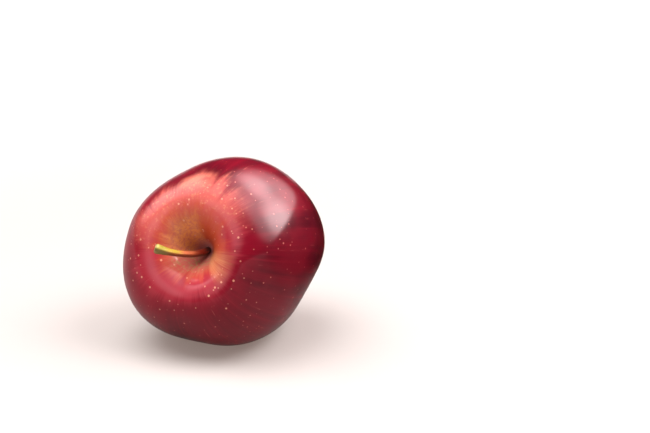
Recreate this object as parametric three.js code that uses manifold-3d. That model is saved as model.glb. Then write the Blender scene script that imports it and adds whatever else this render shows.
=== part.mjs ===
// An apple lying on its side, on a small flat spot of its skin. Millimetres, +Z up.
// Every piece is made in the core's frame: +Y runs up the core from the waist to the
// stem, +X is the apple's right and -Z its upper side. One group then lays the core down.
import * as THREE from "three";
import { mergeVertices } from "three/addons/utils/BufferGeometryUtils.js";
import Module from "manifold-3d";

// How it lies: the stem end points to -Y and is raised by this angle
const coreTilt = 19;
const spotDepth = 0.4; // how far the resting spot is pressed in

// The half outline of the flesh, with heights measured from the waist
const waistRadius = 39.8;
const shoulderHeight = 28.6; // rim of the stem cavity, above the waist
const rimRadius = 19.8;
const cavityDepth = 16.7;
const crownDrop = 40.6; // crown around the calyx, below the waist
const crownRadius = 15.9;
const basinDepth = 9.1;

// How far each stretch of the outline runs straight on before it turns, as a share of its span
const cavityFloorReach = 0.22;
const rimReach = 0.66;
const shoulderReach = 0.525;
const waistReach = 0.49;
const flankReach = 0.43;
const heelReach = 0.45;
const crownReach = 0.44;
const basinFloorReach = 0.5;

// Five ribs run from the shoulder down to the five lobes of the crown
const ribs = [
  { at: 16, swell: 2.8, crown: 3.4 },
  { at: 70, swell: 1.9, crown: 3.0 },
  { at: 168, swell: 2.0, crown: 3.4 },
  { at: 223, swell: 3.7, crown: 3.0 },
  { at: 303, swell: 3.7, crown: 3.3 },
];
const ribHalfWidth = 52; // degrees from a rib's ridge to its foot
const shoulderLift = 0.95; // how much a rib raises the shoulder
const crownSpread = 2.4; // how much a lobe pushes the crown outwards
const ovalShare = 0.05; // the waist is a little oval
const ovalAt = 42; // degrees round to the long way of the oval

// The stem, rooted in the floor of the cavity
const stemHeight = 23.9; // along the core
const stemLean = 11.5; // towards the apple's left
const stemRootRadius = 1.5;
const stemNeckRadius = 1.25;
const stemKnobRadius = 2.0;

// The dried flower in the calyx basin: a ring of stamens inside a ring of sepals
const stamenCount = 10;
const stamenRing = 1.7; // radius of the ring that the stamens stand on
const stamenLength = 4.6;
const filamentRadius = 0.22;
const antherRadius = 0.36;
const sepalCount = 5;
const sepalLength = 7.2;
const sepalWidth = 2.7;
const sepalThickness = 0.6;
const sepalCup = 0.25; // how far its two long edges turn inwards
const sepalFlare = 3.3; // how far a tip curls outwards
const sepalTurn = 20; // degrees round to the first sepal

const seatGap = 0.35; // between a seated piece and its neighbours
const roundSegments = 64;

const skinColour = new THREE.Color(0.56, 0.03, 0.06);
const stemColour = new THREE.Color(0.55, 0.36, 0.12);
const sepalColour = new THREE.Color(0.4, 0.3, 0.17);
const stamenColour = new THREE.Color(0.24, 0.14, 0.07);

const wasm = await Module();
wasm.setup();
const { degToRad, radToDeg, euclideanModulo, smoothstep, clamp, lerp } = THREE.MathUtils;

function toSolid(geometry) {
  const bare = geometry.clone();
  bare.deleteAttribute("normal");
  bare.deleteAttribute("uv");
  const merged = mergeVertices(bare, 1e-4);
  const vertProperties = merged.attributes.position.array;
  const triVerts = new Uint32Array(merged.index.array);
  return new wasm.Manifold(new wasm.Mesh({ numProp: 3, vertProperties, triVerts }));
}

function fromSolid(solid) {
  const { vertProperties, triVerts } = solid.getMesh();
  const geometry = new THREE.BufferGeometry();
  geometry.setAttribute("position", new THREE.BufferAttribute(vertProperties, 3));
  geometry.setIndex(new THREE.BufferAttribute(triVerts, 1));
  geometry.computeVertexNormals();
  return geometry;
}

// Moves every vertex of a geometry to where place(point) puts it
function reshape(geometry, place) {
  const position = geometry.attributes.position;
  const point = new THREE.Vector3();
  for (let i = 0; i < position.count; i += 1) {
    place(point.fromBufferAttribute(position, i));
    position.setXYZ(i, point.x, point.y, point.z);
  }
  geometry.computeVertexNormals();
  return geometry;
}

function makeMesh(name, geometry, color, roughness) {
  const mesh = new THREE.Mesh(geometry, new THREE.MeshStandardMaterial({ color, roughness }));
  mesh.name = name;
  return mesh;
}

// The half outline runs from the calyx to the stem, in curves that meet level or upright
const cavityFloor = shoulderHeight - cavityDepth;
const basinFloor = basinDepth - crownDrop;
const shoulderRun = waistRadius - rimRadius;
const flankRun = waistRadius - crownRadius;
const outlinePoint = (radius, height) => new THREE.Vector2(radius, height);
const basin = new THREE.CubicBezierCurve(
  outlinePoint(0, basinFloor),
  outlinePoint(basinFloorReach * crownRadius, basinFloor),
  outlinePoint((1 - crownReach) * crownRadius, -crownDrop),
  outlinePoint(crownRadius, -crownDrop),
);
const flank = new THREE.CubicBezierCurve(
  outlinePoint(crownRadius, -crownDrop),
  outlinePoint(crownRadius + heelReach * flankRun, -crownDrop),
  outlinePoint(waistRadius, -flankReach * crownDrop),
  outlinePoint(waistRadius, 0),
);
const shoulder = new THREE.CubicBezierCurve(
  outlinePoint(waistRadius, 0),
  outlinePoint(waistRadius, waistReach * shoulderHeight),
  outlinePoint(rimRadius + shoulderReach * shoulderRun, shoulderHeight),
  outlinePoint(rimRadius, shoulderHeight),
);
const cavity = new THREE.CubicBezierCurve(
  outlinePoint(rimRadius, shoulderHeight),
  outlinePoint((1 - rimReach) * rimRadius, shoulderHeight),
  outlinePoint(cavityFloorReach * rimRadius, cavityFloor),
  outlinePoint(0, cavityFloor),
);

function fleshOutline() {
  return [
    ...basin.getPoints(11).slice(0, -1),
    ...flank.getPoints(15).slice(0, -1),
    ...shoulder.getPoints(11).slice(0, -1),
    ...cavity.getPoints(13),
  ];
}

// The height of the basin's or the cavity's skin at a radius from the core's axis
function skinHeight(curve, radius) {
  const nearer = (a, b) => (Math.abs(b.x - radius) < Math.abs(a.x - radius) ? b : a);
  return curve.getPoints(400).reduce(nearer).y;
}

// The ribs' height averaged all round, taken off so that they don't make the fruit wider
const meanRidge = (ribs.length * ribHalfWidth) / 360;
const meanSwell = (meanRidge * ribs.reduce((sum, rib) => sum + rib.swell, 0)) / ribs.length;

// Turns the round flesh into the ribbed, slightly oval one
function ribFlesh(point) {
  const radius = Math.hypot(point.x, point.z);
  const angle = Math.atan2(-point.z, point.x);
  const height = point.y;
  const onWaist = smoothstep(radius, 0.35 * waistRadius, 0.9 * waistRadius);
  const onShoulder =
    smoothstep(height, 0.07 * shoulderHeight, shoulderHeight) *
    smoothstep(radius, 0.15 * rimRadius, 0.95 * rimRadius);
  const onCrown =
    smoothstep(-height, 0.19 * crownDrop, crownDrop) *
    smoothstep(radius, 0.2 * crownRadius, 0.95 * crownRadius);
  let swell = 0;
  let ridge = 0;
  let lobe = 0;
  for (const rib of ribs) {
    const away = Math.abs(euclideanModulo(radToDeg(angle) - rib.at + 180, 360) - 180);
    const bump = away < ribHalfWidth ? 0.5 + 0.5 * Math.cos((Math.PI * away) / ribHalfWidth) : 0;
    swell += bump * rib.swell;
    ridge += bump;
    lobe += bump * rib.crown;
  }
  const oval = ovalShare * Math.cos(2 * (angle - degToRad(ovalAt)));
  const grown =
    radius + (swell - meanSwell) * onWaist + crownSpread * (ridge - meanRidge) * onCrown;
  const wide = grown * (1 + oval * clamp(radius / waistRadius, 0, 1));
  point.x = wide * Math.cos(angle);
  point.z = -wide * Math.sin(angle);
  point.y = height + shoulderLift * ridge * onShoulder - lobe * onCrown;
}

// The lying core: its group is turned here and lifted once the resting spot is known
const core = new THREE.Group();
core.rotation.x = Math.PI - degToRad(coreTilt);
core.updateMatrix();

// The fruit is one solid, cut flat where it rests; the spot's centre becomes the origin
function makeFruit() {
  const round = new THREE.LatheGeometry(fleshOutline(), roundSegments);
  const whole = toSolid(reshape(round, ribFlesh));
  const lying = fromSolid(whole).applyMatrix4(core.matrix);
  lying.computeBoundingBox();
  const spotHeight = lying.boundingBox.min.z + spotDepth;
  const side = 4 * waistRadius;
  const block = new THREE.BoxGeometry(side, side, side);
  block.translate(0, 0, spotHeight - side / 2);
  block.applyMatrix4(core.matrix.clone().invert());
  const fruit = fromSolid(whole.subtract(toSolid(block)));

  const spot = new THREE.Box3();
  const point = new THREE.Vector3();
  for (let i = 0; i < fruit.attributes.position.count; i += 1) {
    point.fromBufferAttribute(fruit.attributes.position, i).applyMatrix4(core.matrix);
    if (point.z < spotHeight + 0.01) spot.expandByPoint(point);
  }
  const centre = spot.getCenter(new THREE.Vector3());
  core.position.set(-centre.x, -centre.y, -spotHeight);
  return makeMesh("fruit", fruit, skinColour, 0.25);
}

// A round rod of changing thickness, bent along the stem's curve
function makeStem() {
  const rootTip = 0.6 * stemRootRadius;
  const root = skinHeight(cavity, rootTip) + seatGap;
  const route = new THREE.CubicBezierCurve3(
    new THREE.Vector3(0, root, 0),
    new THREE.Vector3(0, root + 0.36 * stemHeight, 0.06 * stemHeight),
    new THREE.Vector3(-0.33 * stemLean, root + 0.68 * stemHeight, 0.1 * stemHeight),
    new THREE.Vector3(-stemLean, root + stemHeight, 0.04 * stemHeight),
  );
  const length = route.getLength();
  const outline = [
    [0, 0],
    [rootTip, 0.2],
    [stemRootRadius, 1.2],
    [0.94 * stemRootRadius, 0.12 * length],
    [stemNeckRadius, 0.28 * length],
    [stemNeckRadius, 0.4 * length],
    [stemNeckRadius, 0.52 * length],
    [stemNeckRadius, 0.64 * length],
    [lerp(stemNeckRadius, stemKnobRadius, 0.2), 0.76 * length],
    [lerp(stemNeckRadius, stemKnobRadius, 0.55), 0.86 * length],
    [stemKnobRadius, length - 1.3],
    [0.95 * stemKnobRadius, length - 0.4],
    [0.7 * stemKnobRadius, length],
    [0, length],
  ];
  const rod = new THREE.LatheGeometry(outline.map(([r, y]) => new THREE.Vector2(r, y)), 14);
  const across = new THREE.Vector3(0, 0, 1);
  return makeMesh("stem", reshape(rod, (point) => {
    const share = clamp(point.y / length, 0, 1);
    const along = route.getTangentAt(share);
    const side = new THREE.Vector3().crossVectors(along, across).normalize();
    const front = new THREE.Vector3().crossVectors(side, along);
    const { x, z } = point;
    point.copy(route.getPointAt(share)).addScaledVector(side, x).addScaledVector(front, z);
  }), stemColour, 0.6);
}

// A dried sepal: a thin leaf that stands up out of the basin and curls outwards at its tip
function makeSepal(index) {
  const ring = stamenRing + antherRadius + seatGap + sepalCup + sepalThickness / 2;
  const corner = Math.hypot(ring + sepalThickness / 2, sepalWidth / 2);
  const root = skinHeight(basin, corner) - seatGap;
  const curl = new THREE.CubicBezierCurve(
    outlinePoint(ring, root),
    outlinePoint(ring, root - 0.42 * sepalLength),
    outlinePoint(ring + 0.1 * sepalFlare, root - 0.84 * sepalLength),
    outlinePoint(ring + sepalFlare, root - sepalLength),
  );
  const leaf = new THREE.BoxGeometry(1, 1, 1, 2, 12, 1);
  reshape(leaf, (point) => {
    const share = 0.5 - point.y;
    const width = sepalWidth * Math.max(0.12, Math.sin(Math.PI * (0.28 + 0.72 * share)));
    const at = curl.getPoint(share);
    const along = curl.getTangent(share);
    const cup = sepalCup * (2 * point.x) ** 2;
    const out = point.z * sepalThickness - cup;
    point.set(width * point.x, at.y + out * along.x, at.x - out * along.y);
  });
  const turn = degToRad(sepalTurn + (360 * index) / sepalCount);
  return makeMesh("sepal_" + (index + 1), leaf.rotateY(turn), sepalColour, 0.85);
}

// A withered stamen: a thin filament with a small anther, some shorter than others
function makeStamen(index) {
  const length = stamenLength * (1 - 0.12 * (index % 3));
  const outline = [
    [0, 0],
    [filamentRadius, 0.1],
    [filamentRadius, length - 3 * antherRadius],
    [antherRadius, length - 1.6 * antherRadius],
    [0.8 * antherRadius, length - 0.4 * antherRadius],
    [0, length],
  ];
  const rod = new THREE.LatheGeometry(outline.map(([r, y]) => new THREE.Vector2(r, y)), 8);
  rod.rotateX(Math.PI);
  rod.translate(0, skinHeight(basin, stamenRing + filamentRadius) - seatGap, stamenRing);
  const turn = degToRad((360 * (index + 0.5)) / stamenCount);
  return makeMesh("stamen_" + (index + 1), rod.rotateY(turn), stamenColour, 0.9);
}

core.add(makeFruit(), makeStem());
for (let i = 0; i < sepalCount; i += 1) core.add(makeSepal(i));
for (let i = 0; i < stamenCount; i += 1) core.add(makeStamen(i));

const apple = new THREE.Group();
apple.add(core);

export default apple;
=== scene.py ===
from math import atan2, cos, degrees, exp, hypot, log, pi, radians, sin, tan, tau

import bmesh
import bpy
from mathutils import Matrix, Vector, noise


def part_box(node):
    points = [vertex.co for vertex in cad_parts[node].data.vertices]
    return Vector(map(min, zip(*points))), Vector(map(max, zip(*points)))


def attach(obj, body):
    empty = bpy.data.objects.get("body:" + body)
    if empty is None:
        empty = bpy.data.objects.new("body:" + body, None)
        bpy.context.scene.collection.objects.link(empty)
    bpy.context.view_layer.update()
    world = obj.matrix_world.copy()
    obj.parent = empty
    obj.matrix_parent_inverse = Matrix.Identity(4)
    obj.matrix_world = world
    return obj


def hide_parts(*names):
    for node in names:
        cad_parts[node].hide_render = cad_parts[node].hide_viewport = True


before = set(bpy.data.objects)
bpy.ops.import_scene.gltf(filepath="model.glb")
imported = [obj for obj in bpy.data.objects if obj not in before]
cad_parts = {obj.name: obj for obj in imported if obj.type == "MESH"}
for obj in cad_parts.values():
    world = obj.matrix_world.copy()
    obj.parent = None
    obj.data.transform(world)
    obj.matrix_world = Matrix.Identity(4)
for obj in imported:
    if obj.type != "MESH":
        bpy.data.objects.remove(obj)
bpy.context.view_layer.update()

millimetre = 0.001
coreTilt = 19  # degrees that the stem end is raised
print("frame loaded")


# Shapes. Every piece is drawn in millimetres round the core: +Y runs up it to the stem

def smoothShare(value, low, high):
    share = min(max((value - low) / (high - low), 0), 1)
    return share * share * (3 - 2 * share)


def mixValues(a, b, share):
    return a + (b - a) * share


def bezierPoint(ends, share):
    a, b, c, d = ends
    rest = 1 - share
    return a * rest**3 + 3 * b * rest**2 * share + 3 * c * rest * share**2 + d * share**3


def bezierSlope(ends, share):
    a, b, c, d = ends
    rest = 1 - share
    return 3 * ((b - a) * rest**2 + 2 * (c - b) * rest * share + (d - c) * share**2)


def spinOutline(points, steps, marks):
    # spins an outline of (radius, height) points round the core, each with its own mark
    mesh = bmesh.new()
    layer = mesh.verts.layers.float.new("mark")
    verts = []
    for (radius, height), mark in zip(points, marks):
        vert = mesh.verts.new((radius, height, 0))
        vert[layer] = mark
        verts.append(vert)
    edges = [mesh.edges.new(pair) for pair in zip(verts, verts[1:])]
    bmesh.ops.spin(mesh, geom=verts + edges, cent=(0, 0, 0), axis=(0, 1, 0), dvec=(0, 0, 0),
                   angle=tau, steps=steps, use_merge=True, use_duplicate=False)
    bmesh.ops.remove_doubles(mesh, verts=mesh.verts, dist=1e-5)
    bmesh.ops.recalc_face_normals(mesh, faces=mesh.faces)
    return mesh


def writeSkinPlace(mesh):
    # the attribute that the materials follow: cosine and sine round the piece, and the mark
    mark = mesh.verts.layers.float["mark"]
    place = mesh.verts.layers.float_vector.new("skinPlace")
    for vert in mesh.verts:
        turn = atan2(-vert.co.z, vert.co.x)
        vert[place] = (cos(turn), sin(turn), vert[mark])


def finishPiece(name, mesh, material, nodes, levels):
    mesh.transform(Matrix.Scale(millimetre, 4))
    data = bpy.data.meshes.new(name)
    mesh.to_mesh(data)
    mesh.free()
    data.polygons.foreach_set("use_smooth", [True] * len(data.polygons))
    data.materials.append(material)
    piece = bpy.data.objects.new(name, data)
    bpy.context.scene.collection.objects.link(piece)
    rounding = piece.modifiers.new("rounding", "SUBSURF")
    rounding.levels = levels
    rounding.render_levels = levels
    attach(piece, "root")
    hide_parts(*nodes)
    return piece


# Materials

def addNode(tree, kind, inputs=None, **properties):
    made = tree.nodes.new(kind)
    for name, value in properties.items():
        setattr(made, name, value)
    for name, value in (inputs or {}).items():
        if isinstance(value, bpy.types.NodeSocket):
            tree.links.new(value, made.inputs[name])
        else:
            made.inputs[name].default_value = value
    return made


def startMaterial(name):
    material = bpy.data.materials.new(name)
    material.use_nodes = True
    shader = material.node_tree.nodes["Principled BSDF"]
    return material, material.node_tree, shader


def millimetrePlace(tree):
    place = addNode(tree, "ShaderNodeTexCoord").outputs["Object"]
    return addNode(tree, "ShaderNodeVectorMath", {0: place, "Scale": 1 / millimetre},
                   operation="SCALE").outputs[0]


def skinPlace(tree):
    # round the piece (cosine, sine) and along it, from the mesh's own attribute
    place = addNode(tree, "ShaderNodeAttribute", attribute_name="skinPlace").outputs["Vector"]
    parts = addNode(tree, "ShaderNodeSeparateXYZ", {0: place})
    return place, parts.outputs["Z"]


def stretch(tree, vector, factors):
    return addNode(tree, "ShaderNodeVectorMath", {0: vector, 1: factors},
                   operation="MULTIPLY").outputs[0]


def cloud(tree, vector, scale, detail=3.0, roughness=0.5, distortion=0.0):
    made = addNode(tree, "ShaderNodeTexNoise", {"Vector": vector, "Scale": scale, "Detail": detail,
                   "Roughness": roughness, "Distortion": distortion})
    return made.outputs["Fac"]


def rise(tree, value, low, high):
    # 0 below low, 1 above high, smooth between; low may be the larger one
    made = addNode(tree, "ShaderNodeMapRange", {"Value": value, "From Min": low, "From Max": high},
                   interpolation_type="SMOOTHSTEP")
    return made.outputs["Result"]


def maths(tree, operation, a, b=0.0):
    return addNode(tree, "ShaderNodeMath", {0: a, 1: b}, operation=operation).outputs[0]


def layer(tree, mask, under, over):
    made = addNode(tree, "ShaderNodeMix", data_type="RGBA")
    for index, value in ((0, mask), (6, under), (7, over)):
        if isinstance(value, bpy.types.NodeSocket):
            tree.links.new(value, made.inputs[index])
        else:
            made.inputs[index].default_value = value if index == 0 else (*value, 1)
    return made.outputs[2]


def facing(tree, place, turn):
    # the cosine of the angle between a point's place round the core and a given turn
    return addNode(tree, "ShaderNodeVectorMath",
                   {0: place, 1: (cos(radians(turn)), sin(radians(turn)), 0)},
                   operation="DOT_PRODUCT").outputs["Value"]


skinColours = {
    "maroon": (0.052, 0.0004, 0.0048),
    "crimson": (0.130, 0.0010, 0.0085),
    "scarlet": (0.26, 0.0060, 0.018),
    "coral": (0.34, 0.024, 0.038),
    "blush": (0.46, 0.074, 0.062),
    "yellow": (0.60, 0.27, 0.12),
    "orange": (0.44, 0.056, 0.028),
    # olive and bark: the russet's own colours, painted lighter to lift the shade in the stem cavity
    "olive": (0.66, 0.235, 0.070),
    "bark": (0.50, 0.145, 0.085),
    "rust": (0.37, 0.034, 0.010),
    "rose": (0.47, 0.110, 0.085),
    # painted light: the colour round the stem, made lighter to lift the shade deep in the cavity
    "paintedLightHollow": (0.55, 0.18, 0.16),
    "cream": (0.60, 0.36, 0.19),
    "moss": (0.30, 0.25, 0.10),
    "husk": (0.16, 0.090, 0.045),
    "dot": (0.42, 0.085, 0.075),
    "paleDot": (0.62, 0.28, 0.18),
}
skinMarks = {  # turns in degrees round the core, 90 on the upper side
    "blushTurn": 108, "patchTurn": 98, "patchRow": 1.30, "yellowTurn": 343, "yellowRow": 0.76,
    "oliveTurn": 105, "cavityEdge": 0.84, "dotsPerMillimetre": 0.42, "dotSize": 0.17,
}


def makeSkin():
    material, tree, shader = startMaterial("waxedRedSkin")
    colours, marks = skinColours, skinMarks
    solid = millimetrePlace(tree)
    place, down = skinPlace(tree)

    # red ground, with broad bands and fine threads that run from stem to calyx
    patches = cloud(tree, solid, 0.04, 3.0)
    bands = cloud(tree, stretch(tree, place, (3.0, 3.0, 0.3)), 1.0, 4.0, 0.6)
    threads = cloud(tree, stretch(tree, place, (24, 24, 0.6)), 1.0, 5.0, 0.65)
    depth = maths(tree, "ADD", maths(tree, "MULTIPLY", patches, 0.55), maths(tree, "MULTIPLY", bands, 0.45))
    colour = layer(tree, rise(tree, depth, 0.38, 0.56), colours["maroon"], colours["crimson"])
    threadMask = maths(tree, "MULTIPLY", rise(tree, threads, 0.50, 0.75), 0.40)
    colour = layer(tree, threadMask, colour, colours["scarlet"])
    colour = layer(tree, maths(tree, "MULTIPLY", rise(tree, threads, 0.48, 0.25), 0.35), colour,
                   colours["maroon"])

    # lighter shoulder, with an orange blush and a yellow patch on the upper side
    shoulderMask = maths(tree, "MULTIPLY", rise(tree, down, 1.45, 0.85), rise(tree, bands, 0.30, 0.62))
    colour = layer(tree, maths(tree, "MULTIPLY", shoulderMask, 0.55), colour, colours["scarlet"])
    # painted light: the left side is painted a lighter scarlet where light from the left falls on it
    paintedLeftLightMask = maths(tree, "MULTIPLY", rise(tree, facing(tree, place, 200), 0.2, 0.8),
                     rise(tree, down, 2.0, 1.2))
    colour = layer(tree, maths(tree, "MULTIPLY", paintedLeftLightMask, 0.5), colour, colours["scarlet"])
    drift = maths(tree, "ADD", maths(tree, "MULTIPLY", maths(tree, "SUBTRACT", bands, 0.5), 0.7),
                  maths(tree, "MULTIPLY", maths(tree, "SUBTRACT", threads, 0.5), 0.35))
    ragged = maths(tree, "ADD", down, drift)
    rimMask = maths(tree, "MULTIPLY", rise(tree, ragged, 1.20, 0.94), rise(tree, threads, 0.05, 0.42))
    colour = layer(tree, maths(tree, "MULTIPLY", rimMask, 0.8), colour, colours["coral"])
    blushSide = rise(tree, facing(tree, place, marks["blushTurn"]), 0.0, 0.85)
    lowEdge = maths(tree, "ADD", 1.12, maths(tree, "MULTIPLY", facing(tree, place, 108), 0.24))
    blushRow = maths(tree, "SUBTRACT", lowEdge, ragged)
    blushMask = maths(tree, "MULTIPLY", blushSide, rise(tree, blushRow, -0.14, 0.16))
    colour = layer(tree, blushMask, colour, colours["blush"])
    fleck = cloud(tree, solid, 0.22, 2.0)
    patchSide = rise(tree, facing(tree, place, marks["patchTurn"]), 0.94, 0.995)
    patchAway = maths(tree, "ABSOLUTE", maths(tree, "SUBTRACT", down, marks["patchRow"]))
    patchMask = maths(tree, "MULTIPLY", patchSide, rise(tree, patchAway, 0.16, 0.02))
    patchMask = maths(tree, "MULTIPLY", patchMask, rise(tree, fleck, 0.22, 0.55))
    colour = layer(tree, patchMask, colour, colours["blush"])
    colour = layer(tree, maths(tree, "MULTIPLY", patchMask, 0.22), colour, colours["yellow"])
    flecks = maths(tree, "MULTIPLY", blushMask, rise(tree, cloud(tree, solid, 0.7, 4.0, 0.65), 0.50, 0.72))
    colour = layer(tree, maths(tree, "MULTIPLY", flecks, 0.4), colour, colours["yellow"])

    # the stem cavity: orange rim with short rays, olive russet inside, a darker purplish brown at the stem. The
    # russet's colours and the colour at the stem are painted lighter than their own, painted light that lifts
    # the shade deep in the cavity
    jags = cloud(tree, stretch(tree, place, (4.2, 4.2, 0.8)), 1.0, 5.0, 0.7)
    jag = maths(tree, "SUBTRACT", jags, 0.5)
    edge = maths(tree, "ADD", marks["cavityEdge"],
                 maths(tree, "MULTIPLY", facing(tree, place, marks["oliveTurn"]), 0.10))
    inside = maths(tree, "SUBTRACT", edge, maths(tree, "ADD", down, maths(tree, "MULTIPLY", jag, 0.6)))
    colour = layer(tree, maths(tree, "MULTIPLY", rise(tree, inside, -0.12, 0.06), 0.7), colour,
                   colours["orange"])
    mottle = cloud(tree, solid, 0.8, 5.0, 0.7)
    russet = layer(tree, rise(tree, mottle, 0.36, 0.66), colours["olive"], colours["bark"])
    lowFlesh = layer(tree, rise(tree, mottle, 0.44, 0.70), colours["rose"], colours["moss"])
    russet = layer(tree, rise(tree, facing(tree, place, 265), 0.1, 0.7), russet, lowFlesh)
    rustMask = maths(tree, "MULTIPLY", rise(tree, facing(tree, place, 42), 0.50, 0.95), 0.9)
    russet = layer(tree, rustMask, russet, colours["rust"])
    russetMask = rise(tree, inside, -0.04, 0.30)
    colour = layer(tree, russetMask, colour, russet)
    yellowSide = rise(tree, facing(tree, place, marks["yellowTurn"]), 0.89, 0.99)
    yellowAway = maths(tree, "ABSOLUTE", maths(tree, "SUBTRACT", down, marks["yellowRow"]))
    yellowMask = maths(tree, "MULTIPLY", yellowSide, rise(tree, yellowAway, 0.32, 0.08))
    yellowMask = maths(tree, "MULTIPLY", yellowMask, rise(tree, threads, 0.18, 0.66))
    colour = layer(tree, maths(tree, "MULTIPLY", yellowMask, 0.6), colour, colours["yellow"])
    # painted light: round the stem the skin gets a lighter colour that lifts the shade there
    colour = layer(tree, rise(tree, down, 0.42, 0.16), colour, colours["paintedLightHollow"])

    # coral and cream streaks in the calyx basin, brown and green at the sepals
    streaks = cloud(tree, stretch(tree, place, (5.5, 5.5, 0.7)), 1.0, 4.0, 0.6)
    streak = maths(tree, "SUBTRACT", streaks, 0.5)
    basin = maths(tree, "ADD", down, maths(tree, "MULTIPLY", streak, 0.9))
    colour = layer(tree, maths(tree, "MULTIPLY", rise(tree, basin, 2.85, 3.35), 0.9), colour, colours["coral"])
    colour = layer(tree, rise(tree, basin, 3.22, 3.62), colour, colours["cream"])
    colour = layer(tree, maths(tree, "MULTIPLY", rise(tree, basin, 3.62, 3.80), 0.6), colour, colours["moss"])
    colour = layer(tree, rise(tree, basin, 3.78, 3.92), colour, colours["husk"])

    # a few pale hairline scratches
    hairs = rise(tree, cloud(tree, stretch(tree, place, (38, 38, 3.5)), 1.0, 2.0), 0.66, 0.74)
    hairs = maths(tree, "MULTIPLY", hairs, rise(tree, cloud(tree, solid, 0.07, 2.0), 0.50, 0.62))
    colour = layer(tree, maths(tree, "MULTIPLY", hairs, 0.5), colour, colours["dot"])

    # pale dots, larger and paler towards the stem
    dots = addNode(tree, "ShaderNodeTexVoronoi", {"Vector": solid, "Scale": marks["dotsPerMillimetre"],
                   "Randomness": 1.0}, voronoi_dimensions="3D", feature="F1")
    lot = addNode(tree, "ShaderNodeSeparateColor", {0: dots.outputs["Color"]}).outputs[0]
    nearStem = rise(tree, down, 1.7, 0.9)
    size = maths(tree, "MULTIPLY", maths(tree, "ADD", 0.45, maths(tree, "MULTIPLY", lot, 0.55)),
                 maths(tree, "ADD", marks["dotSize"], maths(tree, "MULTIPLY", nearStem, 0.05)))
    dotMask = rise(tree, maths(tree, "SUBTRACT", size, dots.outputs["Distance"]), -0.01, 0.05)
    dotMask = maths(tree, "MULTIPLY", dotMask, maths(tree, "ADD", 0.45, maths(tree, "MULTIPLY", lot, 0.4)))
    dotColour = layer(tree, maths(tree, "MULTIPLY", nearStem, lot), colours["dot"], colours["paleDot"])
    colour = layer(tree, dotMask, colour, dotColour)
    tree.links.new(colour, shader.inputs["Base Color"])

    # wax over skin: glossy, duller on the russet
    sheen = cloud(tree, solid, 0.35, 4.0, 0.6)
    rough = addNode(tree, "ShaderNodeMapRange", {"Value": sheen, "To Min": 0.24, "To Max": 0.38})
    rough = maths(tree, "ADD", rough.outputs["Result"], maths(tree, "MULTIPLY", russetMask, 0.25))
    tree.links.new(rough, shader.inputs["Roughness"])
    shader.inputs["Specular IOR Level"].default_value = 0.10
    shader.inputs["Coat Weight"].default_value = 0.5
    shader.inputs["Coat Roughness"].default_value = 0.09
    shader.inputs["Subsurface Weight"].default_value = 0.05
    shader.inputs["Subsurface Radius"].default_value = (1.0, 0.25, 0.15)
    shader.inputs["Subsurface Scale"].default_value = 0.0015

    pores = cloud(tree, solid, 2.2, 4.0, 0.6)
    height = maths(tree, "ADD", maths(tree, "MULTIPLY", pores, 0.10), maths(tree, "MULTIPLY", dotMask, 0.10))
    height = maths(tree, "ADD", height, maths(tree, "MULTIPLY",
                   maths(tree, "MULTIPLY", mottle, russetMask), 0.8))
    bump = addNode(tree, "ShaderNodeBump", {"Height": height, "Strength": 0.5, "Distance": 0.0001})
    tree.links.new(bump.outputs["Normal"], shader.inputs["Normal"])
    return material


stemColours = {
    # near-black where the stem goes into the cavity floor: painted shade
    "root": (0.060, 0.016, 0.012),
    "red": (0.30, 0.032, 0.014),
    # the stem's underside: darker red, painted shade
    "under": (0.15, 0.030, 0.010),
    # a painted highlight on the stem's upper side
    "paintedAmberHighlight": (0.50, 0.120, 0.045),
    "gold": (0.36, 0.225, 0.007),
    "olive": (0.27, 0.22, 0.012),
    "shade": (0.17, 0.13, 0.030),
    "scar": (0.30, 0.20, 0.085),
}


def makeBark():
    material, tree, shader = startMaterial("stemBark")
    colours = stemColours
    place, along = skinPlace(tree)
    grain = cloud(tree, stretch(tree, place, (3.2, 3.2, 5.0)), 1.0, 5.0, 0.65)
    stray = maths(tree, "SUBTRACT", grain, 0.5)
    wobble = maths(tree, "ADD", along, maths(tree, "MULTIPLY", stray, 0.30))
    # painted light: the upper side of the stem gets the lit colours and the underside darker ones, painted shade
    upper = rise(tree, maths(tree, "ADD", facing(tree, place, 80), stray), -0.25, 0.55)
    red = layer(tree, upper, colours["under"], colours["red"])
    # painted shade: near-black at the root, deep in the stem cavity
    colour = layer(tree, rise(tree, wobble, 0.03, 0.17), colours["root"], red)
    # painted highlight: an orange band along the upper side
    colour = layer(tree, maths(tree, "MULTIPLY", rise(tree, wobble, 0.22, 0.42), upper), colour,
                   colours["paintedAmberHighlight"])
    # the stem's yellow, laid only on the upper side: partly its own colour, partly painted light
    colour = layer(tree, maths(tree, "MULTIPLY", rise(tree, wobble, 0.50, 0.66), upper), colour,
                   colours["gold"])
    # the tip: olive on top, painted shade underneath
    tip = layer(tree, upper, colours["shade"], colours["olive"])
    colour = layer(tree, rise(tree, wobble, 0.72, 0.88), colour, tip)
    colour = layer(tree, rise(tree, wobble, 0.96, 1.0), colour, colours["scar"])
    # real dark specks, in the colour of the tip's painted shade
    specks = rise(tree, cloud(tree, millimetrePlace(tree), 2.6, 4.0, 0.7), 0.58, 0.72)
    colour = layer(tree, maths(tree, "MULTIPLY", specks, 0.5), colour, colours["shade"])
    tree.links.new(colour, shader.inputs["Base Color"])
    shader.inputs["Roughness"].default_value = 0.42
    shader.inputs["Specular IOR Level"].default_value = 0.3
    shader.inputs["Coat Weight"].default_value = 0.08
    shader.inputs["Coat Roughness"].default_value = 0.25
    bump = addNode(tree, "ShaderNodeBump", {"Height": grain, "Strength": 0.6, "Distance": 0.0002})
    tree.links.new(bump.outputs["Normal"], shader.inputs["Normal"])
    return material


sepalColours = {
    "base": (0.34, 0.30, 0.13),
    "body": (0.36, 0.25, 0.12),
    "tip": (0.10, 0.050, 0.026),
    "down": (0.52, 0.46, 0.33),
}


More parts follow.
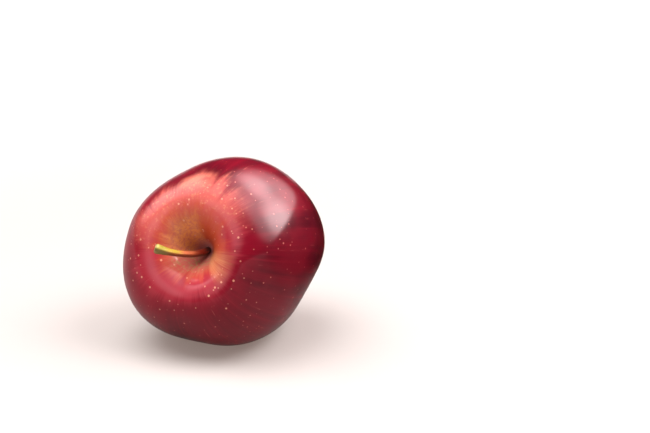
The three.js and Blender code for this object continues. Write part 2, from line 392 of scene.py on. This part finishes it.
def makeDriedLeaf():
    material, tree, shader = startMaterial("driedSepal")
    solid = millimetrePlace(tree)
    place, along = skinPlace(tree)
    mottle = cloud(tree, solid, 1.1, 5.0, 0.7)
    wobble = maths(tree, "ADD", along, maths(tree, "MULTIPLY", maths(tree, "SUBTRACT", mottle, 0.5), 0.5))
    colour = layer(tree, rise(tree, wobble, 0.1, 0.45), sepalColours["base"], sepalColours["body"])
    colour = layer(tree, rise(tree, wobble, 0.50, 0.85), colour, sepalColours["tip"])
    fuzz = rise(tree, cloud(tree, solid, 5.0, 4.0, 0.7), 0.52, 0.68)
    colour = layer(tree, maths(tree, "MULTIPLY", fuzz, 0.45), colour, sepalColours["down"])
    tree.links.new(colour, shader.inputs["Base Color"])
    shader.inputs["Roughness"].default_value = 0.85
    shader.inputs["Sheen Weight"].default_value = 0.3
    bump = addNode(tree, "ShaderNodeBump", {"Height": mottle, "Strength": 0.8, "Distance": 0.0003})
    tree.links.new(bump.outputs["Normal"], shader.inputs["Normal"])
    return material


def makeDriedThread():
    material, tree, shader = startMaterial("witheredStamen")
    place, along = skinPlace(tree)
    grain = cloud(tree, millimetrePlace(tree), 3.0, 4.0, 0.7)
    colour = layer(tree, grain, (0.20, 0.11, 0.05), (0.42, 0.28, 0.13))
    colour = layer(tree, rise(tree, along, 0.72, 0.86), colour, (0.09, 0.045, 0.022))
    tree.links.new(colour, shader.inputs["Base Color"])
    shader.inputs["Roughness"].default_value = 0.8
    bump = addNode(tree, "ShaderNodeBump", {"Height": grain, "Strength": 0.7, "Distance": 0.0001})
    tree.links.new(bump.outputs["Normal"], shader.inputs["Normal"])
    return material


# The fruit: one skin from the floor of the stem cavity to the floor of the calyx basin

fruitSettings = {
    "waistRadius": 39.8, "shoulderHeight": 28.6, "rimRadius": 19.8, "cavityDepth": 16.7,
    "crownDrop": 40.6, "crownRadius": 15.9, "basinDepth": 9.1,
    "cavityFloorReach": 0.22, "rimReach": 0.66, "shoulderReach": 0.525, "waistReach": 0.49,
    "flankReach": 0.43, "heelReach": 0.45, "crownReach": 0.44, "basinFloorReach": 0.5,
    "ribs": [(16, 2.8, 3.4), (70, 1.9, 3.0), (168, 2.0, 3.4), (223, 3.7, 3.0), (303, 3.7, 3.3)],
    "ribHalfWidth": 52, "shoulderLift": 0.95, "crownSpread": 2.4, "oval": 0.05, "ovalAt": 42,
    "rowsPerStretch": (26, 22, 28, 22), "steps": 160,
    "wave": 0.22, "waveLength": 17,  # the skin isn't quite even
    "pucker": 0.30,  # small folds round the sepals
    "spotSoftness": 0.12,
}


def outlineCurves(s):
    cavityFloor = s["shoulderHeight"] - s["cavityDepth"]
    basinFloor = s["basinDepth"] - s["crownDrop"]
    shoulderRun = s["waistRadius"] - s["rimRadius"]
    flankRun = s["waistRadius"] - s["crownRadius"]
    cavity = (Vector((0, cavityFloor)),
              Vector((s["cavityFloorReach"] * s["rimRadius"], cavityFloor)),
              Vector(((1 - s["rimReach"]) * s["rimRadius"], s["shoulderHeight"])),
              Vector((s["rimRadius"], s["shoulderHeight"])))
    shoulder = (Vector((s["rimRadius"], s["shoulderHeight"])),
                Vector((s["rimRadius"] + s["shoulderReach"] * shoulderRun, s["shoulderHeight"])),
                Vector((s["waistRadius"], s["waistReach"] * s["shoulderHeight"])),
                Vector((s["waistRadius"], 0)))
    flank = (Vector((s["waistRadius"], 0)),
             Vector((s["waistRadius"], -s["flankReach"] * s["crownDrop"])),
             Vector((s["crownRadius"] + s["heelReach"] * flankRun, -s["crownDrop"])),
             Vector((s["crownRadius"], -s["crownDrop"])))
    basin = (Vector((s["crownRadius"], -s["crownDrop"])),
             Vector(((1 - s["crownReach"]) * s["crownRadius"], -s["crownDrop"])),
             Vector((s["basinFloorReach"] * s["crownRadius"], basinFloor)),
             Vector((0, basinFloor)))
    return cavity, shoulder, flank, basin


def skinHeight(ends, radius):
    # the height of an outline curve where its radius is nearest to the one given
    points = [bezierPoint(ends, i / 400) for i in range(401)]
    return min(points, key=lambda point: abs(point.x - radius)).y


def ribFlesh(co, s):
    radius = hypot(co.x, co.z)
    turn = atan2(-co.z, co.x)
    height = co.y
    onWaist = smoothShare(radius, 0.35 * s["waistRadius"], 0.9 * s["waistRadius"])
    onShoulder = (smoothShare(height, 0.07 * s["shoulderHeight"], s["shoulderHeight"])
                  * smoothShare(radius, 0.15 * s["rimRadius"], 0.95 * s["rimRadius"]))
    onCrown = (smoothShare(-height, 0.19 * s["crownDrop"], s["crownDrop"])
               * smoothShare(radius, 0.2 * s["crownRadius"], 0.95 * s["crownRadius"]))
    meanRidge = len(s["ribs"]) * s["ribHalfWidth"] / 360
    swell = -meanRidge * sum(rib[1] for rib in s["ribs"]) / len(s["ribs"])
    ridge = 0
    lobe = 0
    for at, ribSwell, ribCrown in s["ribs"]:
        away = abs((degrees(turn) - at + 180) % 360 - 180)
        bump = 0.5 + 0.5 * cos(pi * away / s["ribHalfWidth"]) if away < s["ribHalfWidth"] else 0
        swell += bump * ribSwell
        ridge += bump
        lobe += bump * ribCrown
    grown = radius + swell * onWaist + s["crownSpread"] * (ridge - meanRidge) * onCrown
    oval = s["oval"] * cos(2 * (turn - radians(s["ovalAt"])))
    wide = grown * (1 + oval * min(radius / s["waistRadius"], 1))
    tall = height + s["shoulderLift"] * ridge * onShoulder - lobe * onCrown
    return Vector((wide * cos(turn), tall, -wide * sin(turn)))


def layCore(mesh, offset):
    mesh.transform(Matrix.Translation(offset) @ Matrix.Rotation(pi - radians(coreTilt), 4, "X"))


def meshBox(mesh):
    corners = [[pick(vert.co[axis] for vert in mesh.verts) for axis in range(3)] for pick in (min, max)]
    return Vector(corners[0]), Vector(corners[1])


def makeFruit(s, material):
    points, marks = [], []
    for stretchIndex, (ends, rows) in enumerate(zip(outlineCurves(s), s["rowsPerStretch"])):
        for i in range(rows):
            points.append(bezierPoint(ends, i / rows))
            marks.append(stretchIndex + i / rows)
    points.append(Vector((0, s["basinDepth"] - s["crownDrop"])))
    marks.append(4)
    mesh = spinOutline(points, s["steps"], marks)
    writeSkinPlace(mesh)
    mark = mesh.verts.layers.float["mark"]
    for vert in mesh.verts:
        turn = atan2(-vert.co.z, vert.co.x)
        radius = hypot(vert.co.x, vert.co.z)
        folds = s["pucker"] * sin(10 * turn + 3 * noise.noise(Vector((cos(turn), sin(turn), 0))))
        folds *= smoothShare(vert[mark], 3.2, 3.6) * smoothShare(radius, 3.4, 5.5)
        vert.co = ribFlesh(vert.co, s)
        vert.co.y -= folds
    layCore(mesh, Vector((0, 0, 0)))
    low, high = meshBox(mesh)
    cadLow, cadHigh = (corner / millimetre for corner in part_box("fruit"))
    offset = Vector(((cadLow.x + cadHigh.x - low.x - high.x) / 2,
                     (cadLow.y + cadHigh.y - low.y - high.y) / 2, cadHigh.z - high.z))
    mesh.normal_update()
    for vert in mesh.verts:
        quiet = smoothShare(abs(vert.co.z + offset.z), 0, 12)
        vert.co += vert.normal * (s["wave"] * quiet * noise.noise(vert.co / s["waveLength"]))
        vert.co += offset
        softness = s["spotSoftness"]
        if vert.co.z < 12 * softness:
            vert.co.z = softness * log(1 + exp(vert.co.z / softness))
    finishPiece("fruitSkin", mesh, material, ["fruit"], 1)
    return offset


# The stem: a fluted rod that bends to one side and ends in a knob

stemSettings = {
    "height": 23.9, "lean": 11.5, "rootRadius": 1.5, "neckRadius": 1.25, "knobRadius": 2.0,
    "seatGap": 0.35, "sink": 0.9, "flutes": 5, "fluteDepth": 0.07, "steps": 28, "rows": 60,
}


def makeStem(s, coreOffset, material):
    cavity = outlineCurves(fruitSettings)[0]
    root = skinHeight(cavity, 0.6 * s["rootRadius"]) + s["seatGap"]
    height, lean = s["height"], s["lean"]
    route = (Vector((0, root, 0)), Vector((0, root + 0.36 * height, 0.10 * height)),
             Vector((-0.33 * lean, root + 0.68 * height, 0.13 * height)),
             Vector((-lean, root + height, 0.04 * height)))
    stations = [bezierPoint(route, i / 400) for i in range(401)]
    lengths = [0.0]
    for a, b in zip(stations, stations[1:]):
        lengths.append(lengths[-1] + (b - a).length)
    length = lengths[-1]
    thickness = [(-s["sink"], s["rootRadius"] * 0.9), (1.2, s["rootRadius"]),
                 (0.12 * length, 0.94 * s["rootRadius"]), (0.3 * length, s["neckRadius"]),
                 (0.64 * length, s["neckRadius"]),
                 (0.76 * length, mixValues(s["neckRadius"], s["knobRadius"], 0.2)),
                 (0.86 * length, mixValues(s["neckRadius"], s["knobRadius"], 0.55)),
                 (length - 1.3, s["knobRadius"]), (length - 0.5, 0.93 * s["knobRadius"]),
                 (length - 0.15, 0.7 * s["knobRadius"])]

    def radiusAt(distance):
        for (a, ra), (b, rb) in zip(thickness, thickness[1:]):
            if distance <= b:
                return mixValues(ra, rb, smoothShare(distance, a, b))
        return thickness[-1][1]

    start = -s["sink"]
    points, marks = [Vector((0, start))], [0]
    for i in range(s["rows"] + 1):
        distance = mixValues(start, length - 0.15, i / s["rows"])
        points.append(Vector((radiusAt(distance), distance)))
        marks.append(max(distance, 0) / length)
    points += [Vector((0.45 * s["knobRadius"], length - 0.3)), Vector((0, length - 0.45))]
    marks += [1, 1]
    mesh = spinOutline(points, s["steps"], marks)
    writeSkinPlace(mesh)
    for vert in mesh.verts:
        distance = vert.co.y
        share = min(max(distance / length, 0), 1)
        turn = atan2(-vert.co.z, vert.co.x)
        grain = noise.noise(Vector((2 * cos(turn), 2 * sin(turn), 0.25 * distance)))
        knob = smoothShare(share, 0.8, 1)
        flute = s["fluteDepth"] * sin(s["flutes"] * turn + 1.5 * share) + 0.10 * grain
        growth = 1 + flute + knob * (0.16 * sin(2 * turn + 0.6) + 0.12 * grain)
        x, z = vert.co.x * growth, vert.co.z * growth
        index = min(range(401), key=lambda i: abs(lengths[i] - max(distance, 0)))
        along = bezierSlope(route, index / 400).normalized()
        side = along.cross(Vector((0, 0, 1))).normalized()
        front = side.cross(along)
        over = distance if distance < 0 else distance - lengths[index]
        tipSlant = knob * 0.28 * x
        vert.co = stations[index] + along * (over + tipSlant) + side * x + front * z
    layCore(mesh, coreOffset)
    finishPiece("stemRod", mesh, material, ["stem"], 1)


# The dried flower: ten stamens inside five sepals, in the calyx basin

flowerSettings = {
    "stamenCount": 10, "stamenRing": 1.7, "stamenLength": 4.6, "filamentRadius": 0.22,
    "antherRadius": 0.36, "sepalCount": 5, "sepalLength": 7.2, "sepalWidth": 2.7,
    "sepalThickness": 0.42, "sepalCup": 0.25, "sepalFlare": 3.3, "sepalTurn": 20,
    "cadThickness": 0.6, "seatGap": 0.35, "sink": 0.5,
}


def makeSepal(s, index, coreOffset, material):
    basin = outlineCurves(fruitSettings)[3]
    ring = s["stamenRing"] + s["antherRadius"] + s["seatGap"] + s["sepalCup"] + s["cadThickness"] / 2
    corner = hypot(ring + s["cadThickness"] / 2, s["sepalWidth"] / 2)
    root = skinHeight(basin, corner) - s["seatGap"] + s["sink"]
    length, flare = s["sepalLength"] + s["sink"], s["sepalFlare"]
    curl = (Vector((ring, root)), Vector((ring, root - 0.42 * length)),
            Vector((ring + 0.1 * flare, root - 0.84 * length)),
            Vector((ring + flare * (1 + 0.12 * sin(4 * index)), root - length)))
    mesh = bmesh.new()
    bmesh.ops.create_grid(mesh, x_segments=8, y_segments=18, size=0.5)
    mark = mesh.verts.layers.float.new("mark")
    place = mesh.verts.layers.float_vector.new("skinPlace")
    for vert in mesh.verts:
        across, share = 2 * vert.co.x, 0.5 - vert.co.y
        vert[mark] = share
        vert[place] = (across, index, share)
        width = s["sepalWidth"] * max(0.07, sin(pi * (0.28 + 0.72 * share)))
        ruffle = noise.noise(Vector((1.3 * across, 4 * share, 7.0 * index)))
        at = bezierPoint(curl, share)
        along = bezierSlope(curl, share).normalized()
        vein = 0.16 * exp(-(across * 4) ** 2)
        out = vein - s["sepalCup"] * across**2 * (1 - 1.6 * share) + 0.35 * ruffle * share
        sideways = 0.5 * width * across * (1 + 0.12 * ruffle) + 0.5 * share**2 * sin(2.4 * index)
        vert.co = Vector((sideways, at.y + out * along.x, at.x - out * along.y))
    bmesh.ops.solidify(mesh, geom=mesh.faces[:], thickness=s["sepalThickness"])
    bmesh.ops.recalc_face_normals(mesh, faces=mesh.faces)
    mesh.transform(Matrix.Rotation(radians(s["sepalTurn"] + 360 * index / s["sepalCount"]), 4, "Y"))
    layCore(mesh, coreOffset)
    finishPiece(f"driedSepal{index + 1}", mesh, material, [f"sepal_{index + 1}"], 1)


def makeStamen(s, index, coreOffset, material):
    basin = outlineCurves(fruitSettings)[3]
    root = skinHeight(basin, s["stamenRing"] + s["filamentRadius"]) - s["seatGap"] + s["sink"]
    length = s["stamenLength"] * (1 - 0.12 * (index % 3)) + s["sink"]
    thin, fat = s["filamentRadius"], s["antherRadius"]
    outline = [(0, 0), (thin, 0.02), (0.9 * thin, 0.3 * length), (0.8 * thin, 0.6 * length),
               (0.9 * thin, length - 3.2 * fat), (0.9 * fat, length - 2.4 * fat),
               (fat, length - 1.5 * fat), (0.7 * fat, length - 0.4 * fat), (0, length)]
    mesh = spinOutline([Vector(point) for point in outline], 10, [y / length for x, y in outline])
    writeSkinPlace(mesh)
    for vert in mesh.verts:
        share = vert.co.y / length
        bend = Vector((noise.noise(Vector((2 * share, index, 1))), noise.noise(Vector((2 * share, index, 5)))))
        vert.co.x += 0.22 * share * bend.x
        vert.co.z += 0.22 * share * bend.y
    mesh.transform(Matrix.Translation((0, root, s["stamenRing"])) @ Matrix.Rotation(pi, 4, "X"))
    mesh.transform(Matrix.Rotation(radians(360 * (index + 0.5) / s["stamenCount"]), 4, "Y"))
    layCore(mesh, coreOffset)
    finishPiece(f"witheredStamen{index + 1}", mesh, material, [f"stamen_{index + 1}"], 1)


coreOffset = makeFruit(fruitSettings, makeSkin())
print("fruit made")
makeStem(stemSettings, coreOffset, makeBark())
print("stem made")
driedLeaf, driedThread = makeDriedLeaf(), makeDriedThread()
for sepalIndex in range(flowerSettings["sepalCount"]):
    makeSepal(flowerSettings, sepalIndex, coreOffset, driedLeaf)
for stamenIndex in range(flowerSettings["stamenCount"]):
    makeStamen(flowerSettings, stamenIndex, coreOffset, driedThread)
print("calyx made")


# Floor, light and camera

studioSettings = {
    # the floor glows: a warm painted light that lifts the shadow round the fruit, rising to white further out
    "floorSize": 8, "floorColour": (0.32, 0.30, 0.29), "paintedFloorGlow": (0.22, 0.17, 0.15),
    "brightFrom": 0.14, "brightTo": 0.8,  # the floor brightens into the white behind
    "roomColour": (0.03, 0.03, 0.03),
    # spread: half the angle that each fills, across and up; glow: brightness; fade: where it drops
    # kind: seen in the fruit's gloss, lighting the matt colours, or both
    "glossTint": (1, 0.76, 0.77),
    "lights": [
        {"name": "rightBox", "azimuth": 107, "elevation": 37, "distance": 1.3, "spread": (31, 27),
         "glow": 12.5, "fade": (0.2, 1.0), "kind": "gloss"},
        {"name": "topBox", "azimuth": 150, "elevation": 62, "distance": 1.3, "spread": (25, 19),
         "glow": 8.5, "fade": (0.2, 1.0), "kind": "gloss"},
        {"name": "wideBox", "azimuth": 115, "elevation": 48, "distance": 1.3, "spread": (57, 57),
         "glow": 8.2, "fade": (0.13, 1.0), "kind": "gloss"},
        {"name": "topFill", "azimuth": 0, "elevation": 64, "distance": 1.2, "spread": (36, 32),
         "glow": 2.6, "fade": (0.1, 1.0), "kind": "gloss"},
        {"name": "frontBox", "azimuth": -18, "elevation": 26, "distance": 1.0, "spread": (32, 24),
         "glow": 2.0, "fade": (0.1, 1.0), "kind": "both"},
        {"name": "leftBox", "azimuth": -84, "elevation": 39, "distance": 1.4, "spread": (39, 28),
         "glow": 5, "fade": (0.2, 1.0), "kind": "gloss"},
        {"name": "leftFill", "azimuth": -84, "elevation": 39, "distance": 1.4, "spread": (39, 28),
         "glow": 8, "fade": (0.25, 1.0), "kind": "matt"},
        {"name": "skyBox", "azimuth": -60, "elevation": 75, "distance": 1.2, "spread": (35, 35),
         "glow": 9, "fade": (0.45, 1.0), "kind": "matt"},
        {"name": "sideBox", "azimuth": 100, "elevation": 50, "distance": 1.2, "spread": (30, 25),
         "glow": 11, "fade": (0.45, 1.0), "kind": "matt"},
    ],
    # dark cards, seen only in the fruit's gloss: one stands on its right, one lies round it
    "cards": [
        {"name": "rightCard", "azimuth": 122, "near": 0.030, "far": 0.13, "width": 0.34,
         "low": 0.002, "high": 0.12, "colour": (0.03, 0.006, 0.005), "cover": 1},
        {"name": "lyingCard", "azimuth": 28, "near": -1.8, "far": 1.8, "width": 3.6,
         "low": 0.0006, "high": 0.0006, "colour": (0.05, 0.02, 0.02), "cover": 0.62},
    ],
}
cameraSettings = {"azimuth": 28.1, "elevation": 20, "distance": 0.675, "lens": 90,
                  "aside": 0.040, "above": 0.0111}


def direction(azimuth, elevation):
    a, e = radians(azimuth), radians(elevation)
    return Vector((sin(a) * cos(e), -cos(a) * cos(e), sin(e)))


def aimAt(thing, target):
    toTarget = target - thing.location
    thing.rotation_euler = toTarget.to_track_quat("-Z", "Y").to_euler()


def makeFloor(s):
    mesh = bmesh.new()
    bmesh.ops.create_grid(mesh, x_segments=1, y_segments=1, size=s["floorSize"] / 2)
    data = bpy.data.meshes.new("paleFloor")
    mesh.to_mesh(data)
    mesh.free()
    material, tree, shader = startMaterial("palePaper")
    shader.inputs["Base Color"].default_value = (*s["floorColour"], 1)
    shader.inputs["Roughness"].default_value = 0.6
    place = addNode(tree, "ShaderNodeTexCoord").outputs["Object"]
    away = addNode(tree, "ShaderNodeVectorMath", {0: place}, operation="LENGTH").outputs["Value"]
    # painted light: the floor glows warm near the fruit to lift its shadow, and white further away
    glow = layer(tree, rise(tree, away, s["brightFrom"], s["brightTo"]), s["paintedFloorGlow"], (1, 1, 1))
    tree.links.new(glow, shader.inputs["Emission Color"])
    shader.inputs["Emission Strength"].default_value = 1
    data.materials.append(material)
    floor = bpy.data.objects.new("paleFloor", data)
    bpy.context.scene.collection.objects.link(floor)


def makeCard(s, target):
    mesh = bmesh.new()
    mesh.loops.layers.uv.new("UVMap")
    bmesh.ops.create_grid(mesh, x_segments=1, y_segments=1, size=0.5, calc_uvs=True)
    outward = direction(s["azimuth"], 0)
    sideways = outward.cross(Vector((0, 0, 1)))
    foot = Vector((target.x, target.y, 0))
    for vert in mesh.verts:
        rising = vert.co.y + 0.5
        vert.co = (foot + outward * mixValues(s["near"], s["far"], rising)
                   + sideways * vert.co.x * s["width"] + Vector((0, 0, mixValues(s["low"], s["high"], rising))))
    data = bpy.data.meshes.new(s["name"])
    mesh.to_mesh(data)
    mesh.free()
    material, tree, shader = startMaterial("darkFelt")
    shader.inputs["Base Color"].default_value = (*s["colour"], 1)
    shader.inputs["Roughness"].default_value = 1
    shader.inputs["Specular IOR Level"].default_value = 0
    place = addNode(tree, "ShaderNodeUVMap").outputs["UV"]
    fromMiddle = addNode(tree, "ShaderNodeVectorMath", {0: place, 1: (0.5, 0.5, 0)}, operation="SUBTRACT")
    away = addNode(tree, "ShaderNodeVectorMath", {0: fromMiddle.outputs[0]}, operation="LENGTH").outputs["Value"]
    tree.links.new(maths(tree, "MULTIPLY", rise(tree, away, 0.5, 0.3), s["cover"]), shader.inputs["Alpha"])
    data.materials.append(material)
    card = bpy.data.objects.new(s["name"], data)
    bpy.context.scene.collection.objects.link(card)
    card.visible_camera = False
    card.visible_diffuse = False
    card.visible_shadow = False
    card.visible_transmission = False


def makeLight(s, target):
    # a soft box that fades towards its edges
    lamp = bpy.data.lights.new(s["name"], "AREA")
    lamp.shape = "RECTANGLE"
    lamp.size = 2 * s["distance"] * tan(radians(s["spread"][0]))
    lamp.size_y = 2 * s["distance"] * tan(radians(s["spread"][1]))
    lamp.energy = pi * lamp.size * lamp.size_y * s["glow"]
    if s["kind"] == "gloss":
        lamp.color = studioSettings["glossTint"]
    lamp.use_nodes = True
    tree = lamp.node_tree
    face = addNode(tree, "ShaderNodeNewGeometry").outputs["Parametric"]
    fromMiddle = addNode(tree, "ShaderNodeVectorMath", {0: face, 1: (0.5, 0.5, 0)}, operation="SUBTRACT")
    away = addNode(tree, "ShaderNodeVectorMath", {0: stretch(tree, fromMiddle.outputs[0], (2, 2, 0))},
                   operation="LENGTH").outputs["Value"]
    tree.links.new(rise(tree, away, s["fade"][1], s["fade"][0]), tree.nodes["Emission"].inputs["Strength"])
    thing = bpy.data.objects.new(s["name"], lamp)
    bpy.context.scene.collection.objects.link(thing)
    thing.location = target + direction(s["azimuth"], s["elevation"]) * s["distance"]
    thing.visible_camera = False
    thing.visible_diffuse = s["kind"] != "gloss"
    thing.visible_glossy = s["kind"] != "matt"
    aimAt(thing, target)


def makeRoom(s):
    # dark round the lamps, white where the camera sees past the floor
    world = bpy.data.worlds.new("studio")
    bpy.context.scene.world = world
    world.use_nodes = True
    tree = world.node_tree
    seen = addNode(tree, "ShaderNodeLightPath").outputs["Is Camera Ray"]
    tree.links.new(layer(tree, seen, s["roomColour"], (1, 1, 1)), tree.nodes["Background"].inputs["Color"])


def makeCamera(s, target):
    data = bpy.data.cameras.new("view")
    data.lens = s["lens"]
    data.sensor_width = 36
    camera = bpy.data.objects.new("view", data)
    bpy.context.scene.collection.objects.link(camera)
    back = direction(s["azimuth"], s["elevation"])
    right = Vector((0, 0, 1)).cross(back).normalized()
    camera.location = target + back * s["distance"]
    aimAt(camera, target + right * s["aside"] + back.cross(right) * s["above"])
    bpy.context.scene.camera = camera


fruitLow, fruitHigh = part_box("fruit")
fruitMiddle = (fruitLow + fruitHigh) / 2
makeFloor(studioSettings)
for lightSettings in studioSettings["lights"]:
    makeLight(lightSettings, fruitMiddle)
for cardSettings in studioSettings["cards"]:
    makeCard(cardSettings, fruitMiddle)
makeRoom(studioSettings)
makeCamera(cameraSettings, fruitMiddle)
bpy.context.scene.view_settings.view_transform = "Standard"
print("studio made")
